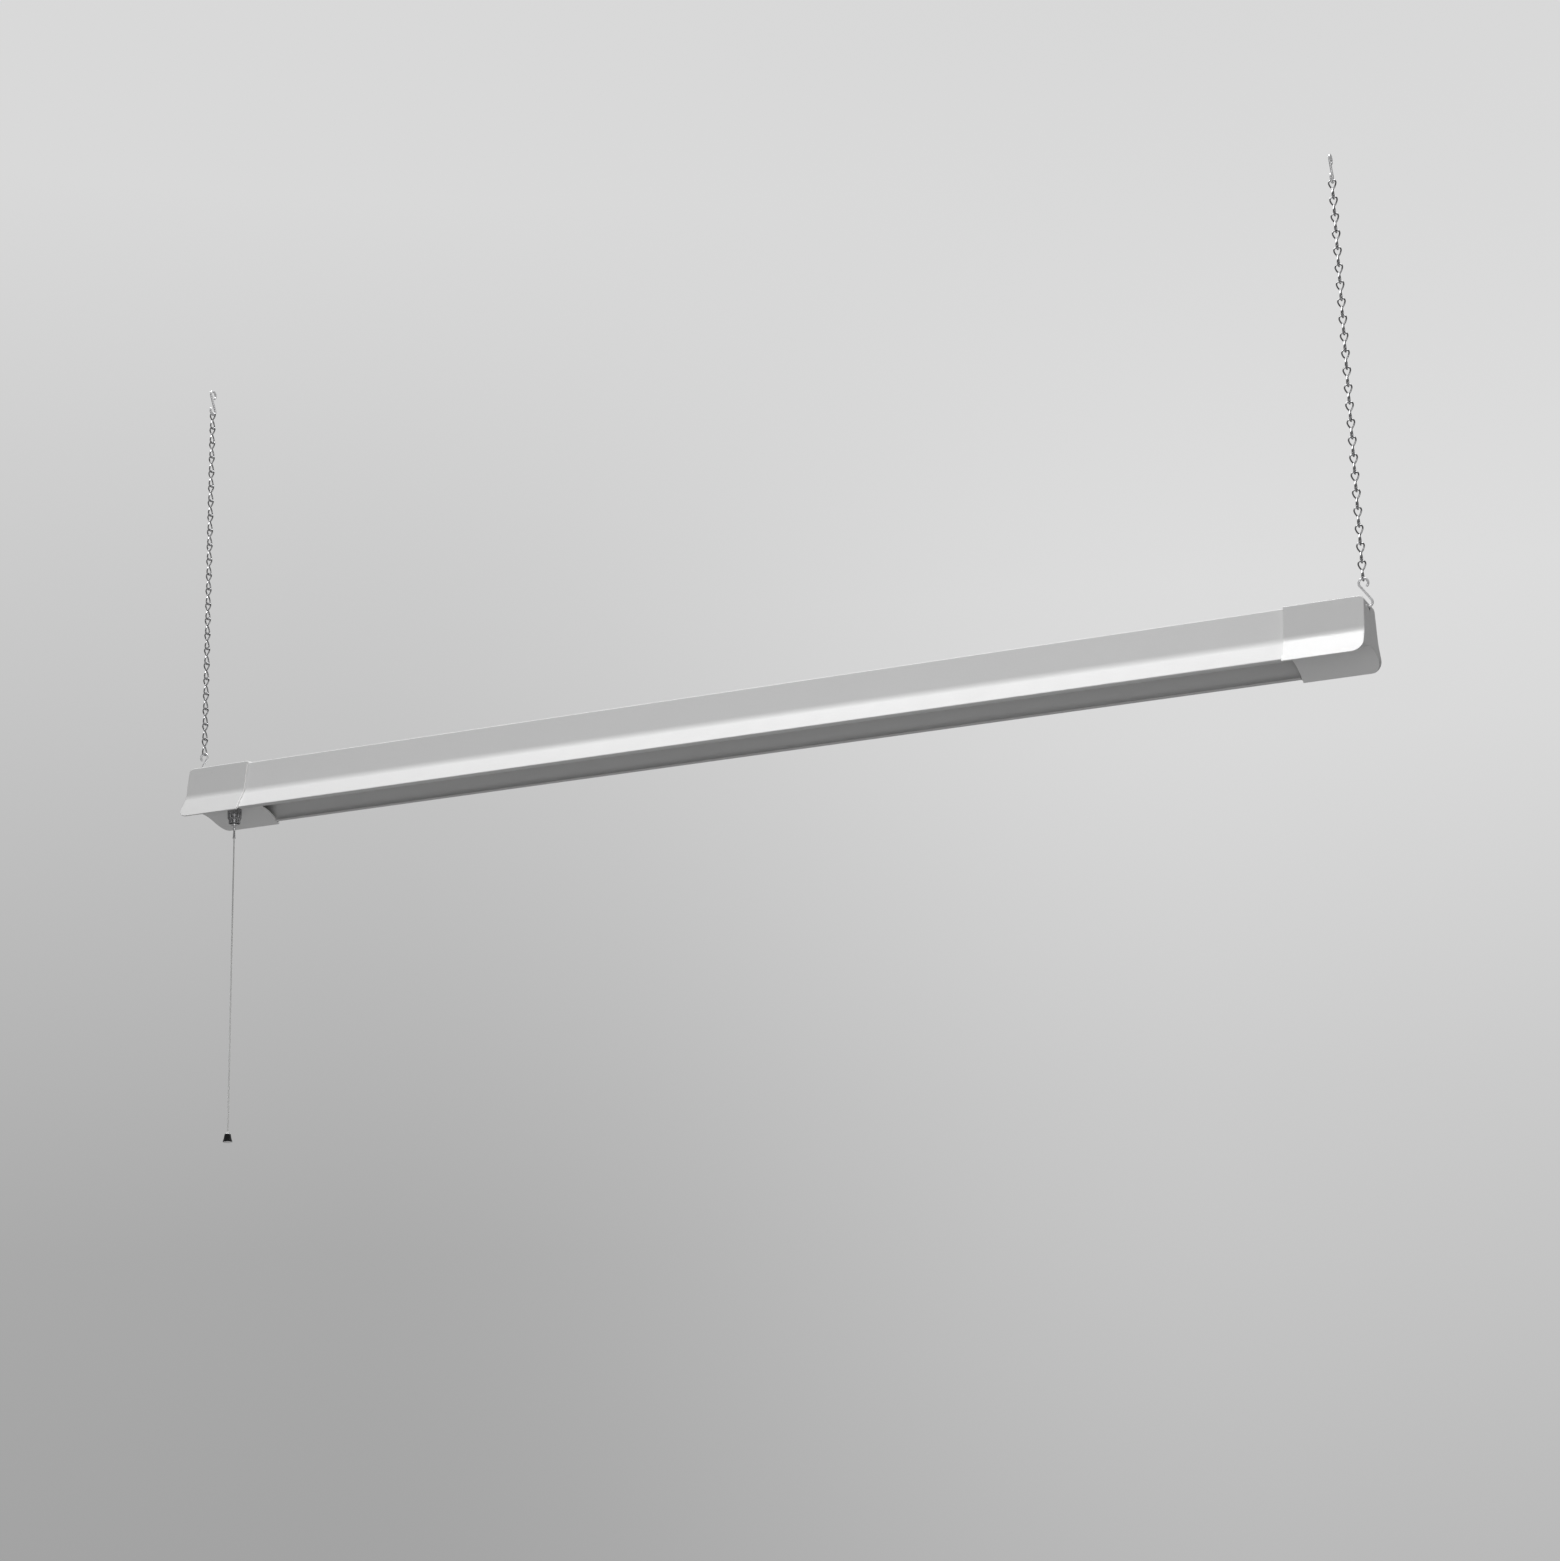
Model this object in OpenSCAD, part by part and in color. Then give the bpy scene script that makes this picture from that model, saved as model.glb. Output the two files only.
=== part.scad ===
// Long LED shop light: a folded steel body with two moulded end caps, hung on two jack chains,
// with a pull-cord switch in the left cap. Millimetres, +Z up, +X towards the right end.
// The origin lies midway between the two upper hook loops, at the inside of their crests.

/* [Fixture outline] */
// Length over both end caps
overall_len = 1200; // [900:10:1500]
// Length of one end cap
cap_len = 70; // [62:1:90]
// Half width across the flat top of a cap
top_half = 19.5; // [18.5:0.5:24]
// Half width of a cap at the fold between its side and its wing
fold_half = 25; // [24:0.5:30]
// Half width of a cap at the wing tips
tip_half = 39; // [36:0.5:46]
// Depth of the fold below the top
fold_depth = 32; // [30:0.5:38]
// Depth of the wing tips below the top
tip_depth = 54; // [51:0.5:62]
// Outside radius of the bend along the fold
fold_round = 9; // [4:0.5:14]
// Outside radius of the bends along the top
top_round = 3; // [2.8:0.1:5]

/* [Body and caps] */
// Steel sheet thickness of the body
sheet = 0.8; // [0.6:0.1:1.2]
// Wall thickness of an end cap
cap_wall = 1.6; // [1.2:0.1:2.2]
// Thickness of the flat end wall of a cap
end_wall = 2.2; // [1.6:0.1:3]
// Play between a cap and the body inside it
cap_play = 0.2; // [0.1:0.05:0.4]
// Length of body held inside each cap
cap_overlap = 15; // [12:1:20]
// Width of the return lip along each wing
lip_w = 6; // [3:0.5:9]
// Depth of the arched underside of a cap, at its crown
crown_depth = 42.5; // [41.5:0.5:46]
// Radius of the end corner at the top of a cap
cap_top_corner = 5; // [3:0.5:8]
// Radius of the end corner at the wing tips
cap_tip_corner = 10; // [5:0.5:14]

/* [Hangers] */
// Wire diameter of the S-hooks
hook_wire = 2.2; // [1.8:0.1:2.6]
// Centre-line radius of the hook loops
hook_loop = 4.1; // [3.8:0.1:5]
// Distance between the centres of a hook's two loops
hook_span = 17.8; // [14:0.2:24]
// Distance of each chain from the fixture's outer end
chain_inset = 3.5; // [2.5:0.1:5]
// Radius of the hook hole in an end wall
hook_hole = 2.5; // [2.2:0.1:3]
// Depth of the hook hole's upper edge below the top
hook_hole_edge = 4.3; // [4:0.1:7]
// Pitch of the jack chain
chain_pitch = 16.1; // [14:0.1:20]
// Wire diameter of the jack chain
chain_wire = 1.8; // [1.4:0.1:2.2]
// Number of links in each chain
chain_links = 23; // [6:1:40]
// Play where one hanger rests in the next
hang_play = 0.08; // [0.05:0.01:0.1]

/* [Lamp parts] */
// Thickness of the lamp tray
tray_sheet = 0.8; // [0.6:0.1:1]
// Depth of the lamp tray's plate below the top
tray_depth = 23.2; // [22:0.2:24]
// Height of the tray's turned-down sides
tray_side = 9; // [7:0.5:9.5]
// Width of an LED board
board_w = 20; // [14:1:24]
// Gap between an LED board's outer end and the tray's end
board_gap = 15; // [10:1:60]
// Thickness of an LED board
board_t = 1.2; // [1:0.1:1.6]
// Number of LED packages on each board
led_count = 44; // [12:1:60]
// Thickness of the diffuser
diffuser_t = 1.4; // [1:0.1:2]
// Half width of the diffuser over its lips
diffuser_half = 22; // [21.5:0.1:22.2]
// Sag of the diffuser's curved face
diffuser_sag = 3.6; // [2:0.2:4.5]
// Length of the driver case
driver_len = 150; // [100:5:200]
// Width of the driver case
driver_w = 30; // [26:1:31]
// Height of the driver case
driver_h = 15; // [13:0.5:17]
// Distance of the driver's centre left of the middle
driver_x = 170; // [140:5:220]
// Distance of the supply inlet from the lamp's left end
inlet_inset = 250; // [240:5:280]
// Radius of the cable bore in the inlet bushing
inlet_bore = 5; // [3.5:0.5:6]
// Length of the inlet bushing
inlet_len = 9; // [7:0.5:11]

/* [Pull switch] */
// Distance of the switch from the fixture's left end
switch_inset = 42; // [40:1:50]
// Length and width of the switch body
switch_size = 24; // [20:1:28]
// Height of the switch body
switch_h = 17; // [15:1:20]
// Radius of the switch's threaded neck
neck_r = 4.75; // [4:0.25:5]
// Length of the neck below the cap
neck_len = 15.7; // [12:0.1:20]
// Radius of the collar nut
collar_r = 7.2; // [6.5:0.1:8.5]
// Length of the metal link between rod and cord
link_len = 11; // [8:1:16]
// Radius of the metal link
link_r = 1.8; // [1.7:0.1:2.2]
// Free length of the pull cord
cord_len = 298; // [150:1:600]
// Diameter of the pull cord
cord_d = 1.5; // [1.2:0.1:1.6]
// Radius of the bell-shaped knob at its foot
knob_r = 4.7; // [4:0.1:8]
// Height of the knob
knob_h = 9.4; // [8:0.1:14]

/* [Hidden] */
$fn = 48;

// Outward unit normals of the side and the wing
function unit(v) = v / norm(v);
side_n = unit([fold_depth, fold_half - top_half]);
wing_n = unit([tip_depth - fold_depth, tip_half - fold_half]);

half_len = overall_len / 2;
inlet_x = half_len - inlet_inset;
seam_x = half_len - cap_len;
body_half = seam_x + cap_overlap;
body_inset = cap_wall + cap_play;
inner_inset = body_inset + sheet;
lip_z = -(tip_depth - body_inset);

// Hangers, from the ceiling down
hook_r = hook_wire / 2;
wire_r = chain_wire / 2;
hook_inside = hook_span + 2 * (hook_loop - hook_r);
link_inside = chain_pitch + hang_play;
link_ring = (link_inside + chain_wire) / 4;
chain_x = half_len - chain_inset;
hook_x = half_len - end_wall / 2;
hook_eye = hook_loop - hook_r;
hook_tilt = asin((hook_x - chain_x) / hook_span);
hook_seat = hook_eye - sqrt(hook_eye * hook_eye - end_wall * end_wall / 4);
link_top = hang_play - hook_inside;
lower_hook_top = link_top - chain_links * chain_pitch;
lower_hook_rest = lower_hook_top - hook_span * cos(hook_tilt) - 2 * hook_eye;
top_z = lower_hook_rest + hook_seat + hang_play + hook_hole_edge;

// Arch under each cap
arch_edge = tip_half - 1.2 * cap_wall;
arch_rise = tip_depth - crown_depth;
arch_r = (arch_edge * arch_edge + arch_rise * arch_rise) / (2 * arch_rise);
arch_z = -crown_depth - arch_r;

// Lamp tray, boards and diffuser, as depths below the top
tray_z = -tray_depth;
board_z = tray_z - tray_sheet;
side_y = side_at(inner_inset, tray_z) - 0.4;
tray_end = seam_x - 3;
bracket_x = tray_end - 8;
board_start = 12;
board_len = tray_end - board_start - board_gap;
diffuser_end = seam_x + 8;
diffuser_top = board_z - tray_side - 0.4;
diffuser_low = diffuser_top - diffuser_t;
diffuser_r = (diffuser_half * diffuser_half + diffuser_sag * diffuser_sag) / (2 * diffuser_sag);
leg_y = side_y - tray_sheet - 0.3;

// Pull switch
switch_x = -(half_len - switch_inset);
switch_floor = cap_wall - crown_depth + 0.05;
rod_r = 1.1;
spring_r = 2.6;
spring_wire = 0.3;
neck_end = -crown_depth - neck_len;
rod_top = switch_floor + switch_h - 4;
ball_r = 1.3;
ball_z = neck_end - 3.9;
knot_r = 1.15;
link_low = ball_z - link_len;
knot_z = link_low + 3.4;
knob_z = link_low - cord_len - knob_h + 1.2;

// Point where two lines meet, each given by its normal and its offset from the origin
function meet(a, c, b, d) =
    let (det = a.x * b.y - a.y * b.x)
    [(c * b.y - d * a.y) / det, (a.x * d - b.x * c) / det];

function side_c(inset) = side_n * [top_half, 0] - inset;
function wing_c(inset) = wing_n * [tip_half, -tip_depth] - inset;
function side_at(inset, z) = (side_c(inset) - side_n.y * z) / side_n.x;
function wing_at(inset, z) = (wing_c(inset) - wing_n.y * z) / wing_n.x;

// Points of a round corner of radius r at p, coming from a and going on to b
function corner(a, p, b, r, n) =
    let (u = unit(a - p), v = unit(b - p), h = acos(u * v) / 2,
        c = p + unit(u + v) * r / sin(h),
        s = p + u * r / tan(h) - c, e = p + v * r / tan(h) - c,
        a0 = atan2(s.y, s.x), turn = atan2(e.y, e.x) - a0,
        da = turn > 180 ? turn - 360 : turn < -180 ? turn + 360 : turn)
    [for (i = [0:n]) c + r * [cos(a0 + da * i / n), sin(a0 + da * i / n)]];

// Right half of the section, set in from a cap's outside and cut level at z
function half_section(inset, z) =
    let (top = meet([0, 1], -inset, side_n, side_c(inset)),
        fold = meet(side_n, side_c(inset), wing_n, wing_c(inset)),
        tip = [wing_at(inset, z), z])
    concat(corner([0, -inset], top, fold, top_round - inset * 0.8 + 0.2, 4),
        corner(top, fold, tip, fold_round + inset, 6), [tip]);

function reflected(pts) = [for (i = [len(pts) - 1:-1:0]) [-pts[i].x, pts[i].y]];
function section(inset, z) = let (h = half_section(inset, z)) concat(h, reflected(h));

// Prism along X of a section drawn in Y and Z
module prism(pts, x0, x1) {
    translate([x0, 0, 0]) rotate([90, 0, 90]) linear_extrude(x1 - x0) polygon(pts);
}

// Box by its two opposite corners
module block(a, b) {
    translate([min(a.x, b.x), min(a.y, b.y), min(a.z, b.z)])
        cube([abs(b.x - a.x), abs(b.y - a.y), abs(b.z - a.z)]);
}

module fixture() translate([0, 0, top_z]) children();

module rod(p, q, r) {
    v = q - p;
    translate(p) rotate([0, acos(v.z / norm(v)), atan2(v.y, v.x)]) cylinder(r = r, h = norm(v));
}

// Insulated wire through a list of points, with one ring of corners at each point
module wire(points, r) {
    n = len(points) - 1;
    sides = 10;
    across = [0.5, -0.5, 0.7];
    pts = [for (i = [0:n])
        let (t = unit(points[min(i + 1, n)] - points[max(i - 1, 0)]), u = unit(cross(t, across)), w = cross(t, u))
        for (j = [0:sides - 1]) points[i] + r * (cos(360 * j / sides) * u + sin(360 * j / sides) * w)];
    skin = [for (i = [0:n - 1], j = [0:sides - 1])
        let (a = i * sides + j, b = i * sides + (j + 1) % sides)
        each [[a, a + sides, b], [b, a + sides, b + sides]]];
    first = [for (j = [0:sides - 1]) j];
    last = [for (j = [sides - 1:-1:0]) n * sides + j];
    polyhedron(pts, concat(skin, [first, last]), 4);
}

// Screw with its head's bearing face at the origin and its shank along -Z
module screw(head_r, head_h, shank_r, len) {
    difference() {
        union() {
            cylinder(r = head_r, h = head_h);
            translate([0, 0, -len]) cylinder(r = shank_r, h = len + head_h / 2);
        }
        for (a = [0, 90]) rotate([0, 0, a])
            translate([-head_r * 0.55, -head_r * 0.11, head_h * 0.55])
                cube([head_r * 1.1, head_r * 0.22, head_h]);
    }
}

// Body of folded sheet, open below, with a return lip along each wing
module housing() {
    color("white") fixture() difference() {
        union() {
            difference() {
                prism(section(body_inset, lip_z), -body_half, body_half);
                prism(section(inner_inset, lip_z - 4), -body_half - 1, body_half + 1);
            }
            for (s = [-1, 1]) {
                edge = wing_at(inner_inset, lip_z) + 0.15;
                block([-seam_x + 0.5, s * (edge - lip_w), lip_z], [seam_x - 0.5, s * edge, lip_z + sheet]);
            }
        }
        translate([-inlet_x, 0, -10]) cylinder(r = inlet_bore + 4, h = 20);
        for (s = [-1, 1]) translate([s * (seam_x + cap_overlap / 2), 0, -10]) cylinder(r = 1.6, h = 20);
    }
}

// Outline of a cap seen from the side, with its two rounded end corners
function cap_side(x_end, z_top, z_low, r_top, r_low) =
    let (x0 = seam_x - 2)
    concat([[x0, z_low], [x0, z_top]],
        corner([x0, z_top], [x_end, z_top], [x_end, z_low], r_top, 6),
        corner([x_end, z_top], [x_end, z_low], [x0, z_low], r_low, 8));

module side_plate(pts) {
    rotate([90, 0, 0]) linear_extrude(4 * tip_half, center = true) polygon(pts);
}

module arch(grow) {
    translate([seam_x - 5, 0, arch_z]) rotate([0, 90, 0]) cylinder(r = arch_r + grow, h = cap_len + 10, $fn = 96);
}

// Right-hand cap; the left one mirrors it
module cap() {
    difference() {
        intersection() {
            prism(section(0, -tip_depth), seam_x, half_len);
            side_plate(cap_side(half_len, 0, -tip_depth, cap_top_corner, cap_tip_corner));
        }
        arch(0);
        difference() {
            intersection() {
                prism(section(cap_wall, -tip_depth), seam_x - 1, half_len - end_wall);
                side_plate(cap_side(half_len - end_wall, -cap_wall, end_wall - tip_depth,
                    cap_top_corner - cap_wall, cap_tip_corner - end_wall));
            }
            arch(cap_wall);
        }
        // slot for the body's wings
        difference() {
            prism(section(cap_wall, lip_z - cap_play), seam_x - 1, seam_x + cap_overlap + 0.5);
            prism(section(inner_inset + cap_play, lip_z - 4), seam_x - 2, seam_x + cap_overlap + 1);
        }
        translate([half_len - end_wall - 1, 0, -hook_hole_edge - hook_hole]) rotate([0, 90, 0])
            cylinder(r = hook_hole, h = end_wall + 2);
        translate([seam_x + cap_overlap / 2, 0, -cap_wall - 1]) cylinder(r = 2, h = cap_wall + 2);
    }
}

module right_end_cap() {
    color("whitesmoke") fixture() cap();
}

module left_end_cap() {
    color("whitesmoke") fixture() difference() {
        mirror([1, 0, 0]) cap();
        translate([switch_x, 0, -crown_depth - 2]) cylinder(r = neck_r + 0.25, h = cap_wall + 4);
    }
}

module end_cap_screws() {
    color("silver") fixture() for (s = [-1, 1])
        translate([s * (seam_x + cap_overlap / 2), 0, 0.05]) screw(3.4, 2, 1.5, 8);
}

// Straps under the body's top that carry the lamp tray
module tray_brackets() {
    low = tray_z + 0.05;
    top = -inner_inset - 0.05;
    color("gainsboro") fixture() for (x = [-bracket_x, 0, bracket_x]) translate([x, 0, 0]) difference() {
        union() {
            block([-8, -12, low], [8, 12, low + 1.2]);
            for (s = [-1, 1]) {
                block([-8, s * 10.8, low], [8, s * 12, top]);
                block([-8, s * 10.8, top], [8, s * 15.5, top - 1.2]);
            }
        }
        translate([0, 0, low - 1]) cylinder(r = 1.8, h = 4);
    }
}

// Channel that carries the boards below and the driver above
module led_tray() {
    color("white") fixture() difference() {
        union() {
            block([-tray_end, -side_y, tray_z], [tray_end, side_y, board_z]);
            for (s = [-1, 1])
                block([-tray_end, s * side_y, tray_z - 0.1],
                    [tray_end, s * (side_y - tray_sheet), board_z - tray_side]);
        }
        for (x = [-bracket_x, 0, bracket_x]) translate([x, 0, board_z - 1]) cylinder(r = 2.2, h = 4);
        for (s = [-1, 1], k = [0:2])
            translate([s * board_screw_x(k), board_screw_y, board_z - 1]) cylinder(r = 1.6, h = 4);
        for (s = [-1, 1])
            translate([-driver_x + s * (driver_len / 2 + 6), 0, board_z - 1]) cylinder(r = 1.6, h = 4);
        translate([-ground_x, -10, board_z - 1]) cylinder(r = 1.6, h = 4);
        translate([-led_wire_x, led_wire_y, board_z - 1]) cylinder(r = 3.4, h = 4);
    }
}

module tray_screws() {
    color("silver") fixture() for (x = [-bracket_x, 0, bracket_x])
        translate([x, 0, board_z - 0.05]) rotate([180, 0, 0]) screw(3.6, 2, 1.7, 7);
}

board_screw_y = board_w / 2 - 3.2;
function board_screw_x(k) = board_start + board_len * (0.1 + 0.4 * k);

module led_board(s) {
    fixture() difference() {
        block([s * board_start, -board_w / 2, board_z - 0.02],
            [s * (board_start + board_len), board_w / 2, board_z - board_t]);
        for (k = [0:2])
            translate([s * board_screw_x(k), board_screw_y, board_z - board_t - 1]) cylinder(r = 1.6, h = 4);
    }
}

module led_board_left() {
    color("ivory") led_board(-1);
}

module led_board_right() {
    color("ivory") led_board(1);
}

module led_chips(s) {
    step = board_len / led_count;
    low = board_z - board_t - 0.02;
    fixture() for (i = [0:led_count - 1]) {
        x = s * (board_start + step * (i + 0.5));
        block([x - 1.75, -1.4, low], [x + 1.75, 1.4, low - 0.7]);
    }
}

module led_chips_left() {
    color("khaki") led_chips(-1);
}

module led_chips_right() {
    color("khaki") led_chips(1);
}

module board_screws() {
    color("silver") fixture() for (s = [-1, 1], k = [0:2])
        translate([s * board_screw_x(k), board_screw_y, board_z - board_t - 0.05])
            rotate([180, 0, 0]) screw(2.6, 1.4, 1.4, 5);
}

// Two jumpers that join the boards across the middle screw
module board_link_wires() {
    z = board_z - board_t - 0.75;
    color("red") fixture() for (y = [-6.5, 6.5])
        wire([[-board_start - 5, y, z], [-4, y, z - 1.2], [4, y, z - 1.2], [board_start + 5, y, z]], 0.7);
}

// Curved cover that snaps up between the tray's sides
module diffuser() {
    color("lightgray") fixture() union() {
        intersection() {
            difference() {
                translate([-diffuser_end, 0, diffuser_low - diffuser_sag + diffuser_r]) rotate([0, 90, 0])
                    cylinder(r = diffuser_r, h = 2 * diffuser_end, $fn = 96);
                translate([-diffuser_end - 1, 0, diffuser_low - diffuser_sag + diffuser_r]) rotate([0, 90, 0])
                    cylinder(r = diffuser_r - diffuser_t, h = 2 * diffuser_end + 2, $fn = 96);
            }
            block([-diffuser_end, -diffuser_half, diffuser_low - diffuser_sag - 1],
                [diffuser_end, diffuser_half, diffuser_top]);
        }
        for (s = [-1, 1])
            block([-tray_end, s * leg_y, board_z - 2], [tray_end, s * (leg_y - diffuser_t), diffuser_low - 0.1]);
    }
}

// Driver: a folded case, its cover and the board inside
driver_floor = tray_z + 0.05;

module driver_case() {
    x0 = -driver_x - driver_len / 2;
    x1 = -driver_x + driver_len / 2;
    color("silver") fixture() difference() {
        union() {
            block([x0 - 12, -driver_w / 2, driver_floor], [x1 + 12, driver_w / 2, driver_floor + 1]);
            for (x = [x0, x1 - 1]) block([x, -driver_w / 2, driver_floor], [x + 1, driver_w / 2, driver_floor + driver_h - 1.2]);
        }
        for (s = [-1, 1])
            translate([-driver_x + s * (driver_len / 2 + 6), 0, driver_floor - 1]) cylinder(r = 1.8, h = 4);
        for (x = [x0 - 1, x1 - 2]) translate([x, 0, driver_floor + driver_h / 2]) rotate([0, 90, 0])
            cylinder(r = 3, h = 3);
    }
}

module driver_cover() {
    x0 = -driver_x - driver_len / 2;
    x1 = -driver_x + driver_len / 2;
    top = driver_floor + driver_h;
    color("gainsboro") fixture() union() {
        block([x0, -driver_w / 2 - 0.9, top - 1], [x1, driver_w / 2 + 0.9, top]);
        for (s = [-1, 1])
            block([x0, s * (driver_w / 2 + 0.1), driver_floor], [x1, s * (driver_w / 2 + 0.9), top - 0.5]);
    }
}

module driver_board() {
    z = driver_floor + 3;
    color("darkgreen") fixture() union() {
        block([-driver_x - driver_len / 2 + 4, -driver_w / 2 + 2, z],
            [-driver_x + driver_len / 2 - 4, driver_w / 2 - 2, z + 1.6]);
        for (s = [-1, 1], t = [-1, 1])
            translate([-driver_x + s * (driver_len / 2 - 9), t * (driver_w / 2 - 5), driver_floor + 1.05])
                cylinder(r = 1.5, h = 2.5);
        block([-driver_x - 10, -9, z + 1], [-driver_x + 12, 9, z + driver_h - 5]);
        for (k = [-1, 1]) translate([-driver_x + 42 * k, 3, z + 1]) cylinder(r = 4, h = driver_h - 6.5);
        block([-driver_x + 22, -10, z + 1], [-driver_x + 31, 2, z + 6]);
        block([-driver_x - 62, -9, z + 1], [-driver_x - 54, 9, z + 7.5]);
    }
}

module driver_screws() {
    color("silver") fixture() for (s = [-1, 1])
        translate([-driver_x + s * (driver_len / 2 + 6), 0, driver_floor + 1.05]) screw(3, 1.8, 1.5, tray_sheet + 1.05);
}

terminal_x = inlet_x + 55;
ground_x = inlet_x + 28;

// Three-way terminal block on the tray
module terminal_block() {
    z = tray_z + 0.05;
    color("white") fixture() difference() {
        block([-terminal_x - 11, -8, z], [-terminal_x + 11, 8, z + 12]);
        for (y = [-5, 0, 5]) {
            translate([-terminal_x - 12, y, z + 4]) rotate([0, 90, 0]) cylinder(r = 1.5, h = 24);
            for (s = [-1, 1]) translate([-terminal_x + 6 * s, y, z + 6.5]) cylinder(r = 1.6, h = 8);
        }
    }
}

module ground_screw() {
    color("green") fixture() translate([-ground_x, -10, tray_z + 0.05]) screw(3.4, 2, 1.5, tray_sheet);
}

// Snap bushing in the body's top, where a supply cable enters
module inlet_bushing() {
    color("black") fixture() translate([-inlet_x, 0, -body_inset]) difference() {
        union() {
            translate([0, 0, 0.05]) cylinder(r = inlet_bore + 6, h = 1.8);
            translate([0, 0, 1.85 - inlet_len]) cylinder(r = inlet_bore + 3.9, h = inlet_len - 1);
        }
        translate([0, 0, -inlet_len]) cylinder(r = inlet_bore, h = inlet_len + 4);
    }
}

wire_z = tray_z + 4.05;

// Two wires from the switch to the terminal block
module switch_wires() {
    up = switch_floor + switch_h + 2.4;
    color("black") fixture() for (y = [-5, 5])
        wire([[switch_x + 3, y, up - 0.3], [switch_x + 13, y * 1.04, up], [-tray_end + 6, y * 0.9, wire_z + 6],
            [-tray_end + 40, y * 1.1, wire_z + 0.5], [-terminal_x - 5, y, wire_z]], 1);
}

// Two wires from the terminal block to the driver
module driver_wires() {
    x1 = -driver_x - driver_len / 2 + 6;
    up = driver_floor + driver_h / 2;
    color("black") fixture() for (y = [-5, 5])
        wire([[-terminal_x + 5, y, wire_z], [-terminal_x + 13, y, wire_z], [-terminal_x + 24, y * 1.6, wire_z],
            [-ground_x + 40, y * 1.6, wire_z], [x1 - 24, y * 0.8, wire_z], [x1 - 10, y * 0.24, up], [x1, y * 0.24, up]], 1);
}

led_wire_x = 34;
led_wire_y = 14.5;

// Two wires from the driver down through the tray to the left board
module led_wires() {
    x0 = -driver_x + driver_len / 2 - 6;
    up = driver_floor + driver_h / 2;
    z = board_z - board_t - 0.75;
    color("red") fixture() for (k = [-1, 1]) {
        x = -led_wire_x - 2 * k;
        wire([[x0, k * 1.4 - 1.9, up + 0.4], [x, led_wire_y, tray_z + 4.5 - k], [x, led_wire_y - 0.9, tray_z - 2.2],
            [x, board_w / 2 - 0.5, z - 0.35], [x, 3, z]], 0.7);
    }
}

// Pull switch: body and neck in one moulding, with a bore for the rod
module switch_body() {
    low = switch_floor;
    color("dimgray") fixture() translate([switch_x, 0, 0]) difference() {
        union() {
            intersection() {
                block([-switch_size / 2, -switch_size / 2, low], [switch_size / 2, switch_size / 2, low + switch_h]);
                translate([0, 0, low - 1]) cylinder(r = switch_size * 0.62, h = switch_h + 2);
            }
            translate([0, 0, neck_end]) cylinder(r = neck_r, h = low - neck_end + 1);
        }
        translate([0, 0, neck_end - 1]) cylinder(r = rod_r + 0.5, h = switch_h + 30);
        translate([0, 0, low + 2]) cylinder(r = spring_r + 0.9, h = switch_h - 4);
    }
}

module switch_terminals() {
    top = switch_floor + switch_h;
    color("goldenrod") fixture() for (y = [-5, 5])
        translate([switch_x, y, top + 0.05]) difference() {
            union() {
                block([-3, -2, 0], [5, 2, 0.8]);
                block([2, -2, 0], [2.8, 2, 3.6]);
            }
            translate([-1, 0, -1]) cylinder(r = 0.8, h = 3);
        }
}

// Return spring under the rod's head, as one coil of round wire
module switch_spring() {
    turns = 4;
    steps = 16;
    low = switch_floor + 2.4;
    rise = rod_top - 2.2 - low - 2 * spring_wire;
    r = spring_r;
    n = turns * steps;
    ring = 6;
    path = [for (i = [0:n]) [r * cos(360 * i / steps), r * sin(360 * i / steps), low + spring_wire + rise * i / n]];
    pts = [for (i = [0:n], j = [0:ring - 1])
        let (a = 360 * i / steps, b = 360 * j / ring)
        path[i] + spring_wire * [cos(a) * cos(b), sin(a) * cos(b), sin(b)]];
    side = [for (i = [0:n - 1], j = [0:ring - 1]) each
        let (a = i * ring + j, b = i * ring + (j + 1) % ring, c = a + ring, d = b + ring)
        [[a, b, c], [b, d, c]]];
    ends = [for (j = [1:ring - 2]) each [[0, j + 1, j], [n * ring, n * ring + j, n * ring + j + 1]]];
    color("silver") fixture() translate([switch_x, 0, 0]) polyhedron(pts, concat(side, ends), 4);
}

// Fluted collar nut that clamps the switch to the cap
module switch_collar() {
    top = -crown_depth - 0.55;
    color("black") fixture() translate([switch_x, 0, 0]) difference() {
        translate([0, 0, neck_end]) cylinder(r = collar_r, h = top - neck_end);
        translate([0, 0, neck_end - 1]) cylinder(r = neck_r + 0.1, h = neck_len + 2);
        for (k = [0:15]) rotate([0, 0, 22.5 * k]) translate([collar_r + 0.35, 0, neck_end - 1])
            cylinder(r = 0.9, h = neck_len + 2, $fn = 16);
    }
}

module switch_ferrule() {
    color("silver") fixture() translate([switch_x, 0, neck_end - 1.5]) difference() {
        union() {
            cylinder(r = 3.6, h = 1.45);
            translate([0, 0, -0.5]) cylinder(r = 2.6, h = 1);
        }
        translate([0, 0, -2]) cylinder(r = rod_r + 0.4, h = 5);
    }
}

// Pull rod: a head inside the switch and a small ball at the outer end
module pull_rod() {
    color("gray") fixture() translate([switch_x, 0, 0]) union() {
        translate([0, 0, ball_z + 2]) cylinder(r = rod_r, h = rod_top - ball_z - 2);
        translate([0, 0, rod_top - 2]) cylinder(r = spring_r + 0.5, h = 2);
        translate([0, 0, ball_z]) cylinder(r = 0.6, h = 3);
        translate([0, 0, ball_z]) sphere(ball_r);
    }
}

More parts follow.
